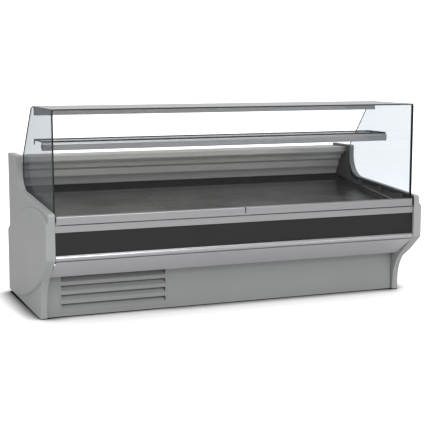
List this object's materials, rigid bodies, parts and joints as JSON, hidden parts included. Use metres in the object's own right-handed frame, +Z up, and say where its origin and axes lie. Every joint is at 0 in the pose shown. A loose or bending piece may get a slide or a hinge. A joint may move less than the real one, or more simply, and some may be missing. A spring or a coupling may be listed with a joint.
{
  "type": "refrigerated deli case",
  "caption": "Free-standing refrigerated serve-over case with flat glass, sloping steel deck, glass shelf, worktop and moulded ends.",
  "frame": {"origin": "middle of the footprint, on the floor under the levelling feet", "axes": "+X along the length, +Y from the customer's side to the server's side, +Z up"},
  "size_m": [2.5, 1.15, 1.271],
  "materials": {
    "moulded_grey": "fine satin moulded skin",
    "painted_grey": "satin powder coat",
    "satin_aluminium": "satin anodised",
    "bright_aluminium": "bright anodised",
    "black_panel": "satin black",
    "stainless": "brushed along the length",
    "galvanised": "zinc coated sheet",
    "foamed_zinc": "rigid foam between zinc coated sheets",
    "foamed_door": "rigid foam in a satin painted skin",
    "steel": "bright zinc plated",
    "clear_glass": "clear toughened glass with polished edges",
    "white_lamp": "opal white",
    "foot_plastic": "moulded black nylon",
    "black_rubber": "soft magnetic gasket",
    "waste_plastic": "grey waste pipe",
    "coil_fins": "bare fin stock",
    "fan_plastic": "moulded black",
    "black_enamel": "semi gloss enamel",
    "copper": "drawn copper pipe",
    "control_black": "smooth black",
    "key_plastic": "grey key caps"
  },
  "bodies": {
    "case": {"apron": "painted_grey", "back_wall_panel": "stainless", "base_frame": "galvanised", "bumper": "bright_aluminium", "cable_gland": "control_black", "compressor": "black_enamel", "condenser_coil": "coil_fins", "condenser_fan_motor": "black_enamel", "condensing_unit_base": "galvanised", "control_panel": "control_black", "deck_bearers": "stainless", "drain_pipe": "waste_plastic", "end_panel_left": "moulded_grey", "end_panel_right": "moulded_grey", "evaporator_coil": "coil_fins", "evaporator_fan_motors": "galvanised", "front_infill": "black_panel", "front_sill": "galvanised", "glass_clamps": "steel", "hinge_brackets": "steel", "hinge_pins": "steel", "light_tube": "white_lamp", "louvre_grille": "painted_grey", "lower_front_panel": "painted_grey", "lower_strip": "satin_aluminium", "panel_screws": "steel", "pipework": "copper", "rear_panel": "painted_grey", "reserve_box": "foamed_zinc", "shelf_glass": "clear_glass", "shelf_rail": "satin_aluminium", "side_glass_left": "clear_glass", "side_glass_right": "clear_glass", "top_glass": "clear_glass", "top_rail": "satin_aluminium", "tub_body": "foamed_zinc", "tub_liner": "stainless", "worktop": "stainless"},
    "glass_left": {"glass_holder_left": "satin_aluminium", "front_glass_left": "clear_glass"},
    "glass_right": {"glass_holder_right": "satin_aluminium", "front_glass_right": "clear_glass"},
    "foot_1": {"levelling_foot_1": "foot_plastic"},
    "foot_2": {"levelling_foot_2": "foot_plastic"},
    "foot_3": {"levelling_foot_3": "foot_plastic"},
    "foot_4": {"levelling_foot_4": "foot_plastic"},
    "evaporator_fan_1": {"evaporator_fan_1": "fan_plastic"},
    "evaporator_fan_2": {"evaporator_fan_2": "fan_plastic"},
    "condenser_fan": {"condenser_fan": "fan_plastic"},
    "door_1": {"reserve_door_1": "foamed_door", "door_seal_1": "black_rubber"},
    "door_2": {"reserve_door_2": "foamed_door", "door_seal_2": "black_rubber"},
    "pan_1": {"deck_pan_1": "stainless"},
    "pan_2": {"deck_pan_2": "stainless"},
    "pan_3": {"deck_pan_3": "stainless"},
    "key_1": {"controller_key_1": "key_plastic"},
    "key_2": {"controller_key_2": "key_plastic"},
    "rocker_1": {"rocker_switch_1": "control_black"},
    "rocker_2": {"rocker_switch_2": "control_black"}
  },
  "joints": [
    {"name": "front_glass_left_tilt", "type": "hinge", "parent": "case", "child": "glass_left", "pos_m": [-0.59, -0.557, 0.611], "axis": [1, 0, 0], "range_deg": [0, 50]},
    {"name": "front_glass_right_tilt", "type": "hinge", "parent": "case", "child": "glass_right", "pos_m": [0.59, -0.557, 0.611], "axis": [1, 0, 0], "range_deg": [0, 50]},
    {"name": "foot_1_screw", "type": "slide", "parent": "case", "child": "foot_1", "axis": [0, 0, 1], "range_m": [-0.02, 0]},
    {"name": "foot_2_screw", "type": "slide", "parent": "case", "child": "foot_2", "axis": [0, 0, 1], "range_m": [-0.02, 0]},
    {"name": "foot_3_screw", "type": "slide", "parent": "case", "child": "foot_3", "axis": [0, 0, 1], "range_m": [-0.02, 0]},
    {"name": "foot_4_screw", "type": "slide", "parent": "case", "child": "foot_4", "axis": [0, 0, 1], "range_m": [-0.02, 0]},
    {"name": "evaporator_fan_1_spin", "type": "hinge", "parent": "case", "child": "evaporator_fan_1", "pos_m": [-0.42, 0.025, 0.558], "axis": [0, 1, 0], "continuous": true},
    {"name": "evaporator_fan_2_spin", "type": "hinge", "parent": "case", "child": "evaporator_fan_2", "pos_m": [0.42, 0.025, 0.558], "axis": [0, 1, 0], "continuous": true},
    {"name": "condenser_fan_spin", "type": "hinge", "parent": "case", "child": "condenser_fan", "pos_m": [-0.9125, -0.162, 0.238], "axis": [0, 1, 0], "continuous": true},
    {"name": "reserve_door_1_swing", "type": "hinge", "parent": "case", "child": "door_1", "pos_m": [-0.38, 0.549, 0.266], "axis": [0, 0, 1], "range_deg": [0, 90]},
    {"name": "reserve_door_2_swing", "type": "hinge", "parent": "case", "child": "door_2", "pos_m": [0.415, 0.549, 0.266], "axis": [0, 0, 1], "range_deg": [0, 90]},
    {"name": "deck_pan_1_lift", "type": "slide", "parent": "case", "child": "pan_1", "axis": [0, 0, 1], "range_m": [0, 0.15]},
    {"name": "deck_pan_2_lift", "type": "slide", "parent": "case", "child": "pan_2", "axis": [0, 0, 1], "range_m": [0, 0.15]},
    {"name": "deck_pan_3_lift", "type": "slide", "parent": "case", "child": "pan_3", "axis": [0, 0, 1], "range_m": [0, 0.15]},
    {"name": "key_1_push", "type": "slide", "parent": "case", "child": "key_1", "axis": [0, -1, 0], "range_m": [0, 0.001], "stiffness_N_per_m": 300},
    {"name": "key_2_push", "type": "slide", "parent": "case", "child": "key_2", "axis": [0, -1, 0], "range_m": [0, 0.001], "stiffness_N_per_m": 300},
    {"name": "rocker_1_tilt", "type": "hinge", "parent": "case", "child": "rocker_1", "pos_m": [-0.842, 0.566, 0.802], "axis": [1, 0, 0], "range_deg": [-7, 7]},
    {"name": "rocker_2_tilt", "type": "hinge", "parent": "case", "child": "rocker_2", "pos_m": [-0.806, 0.566, 0.802], "axis": [1, 0, 0], "range_deg": [-7, 7]}
  ]
}
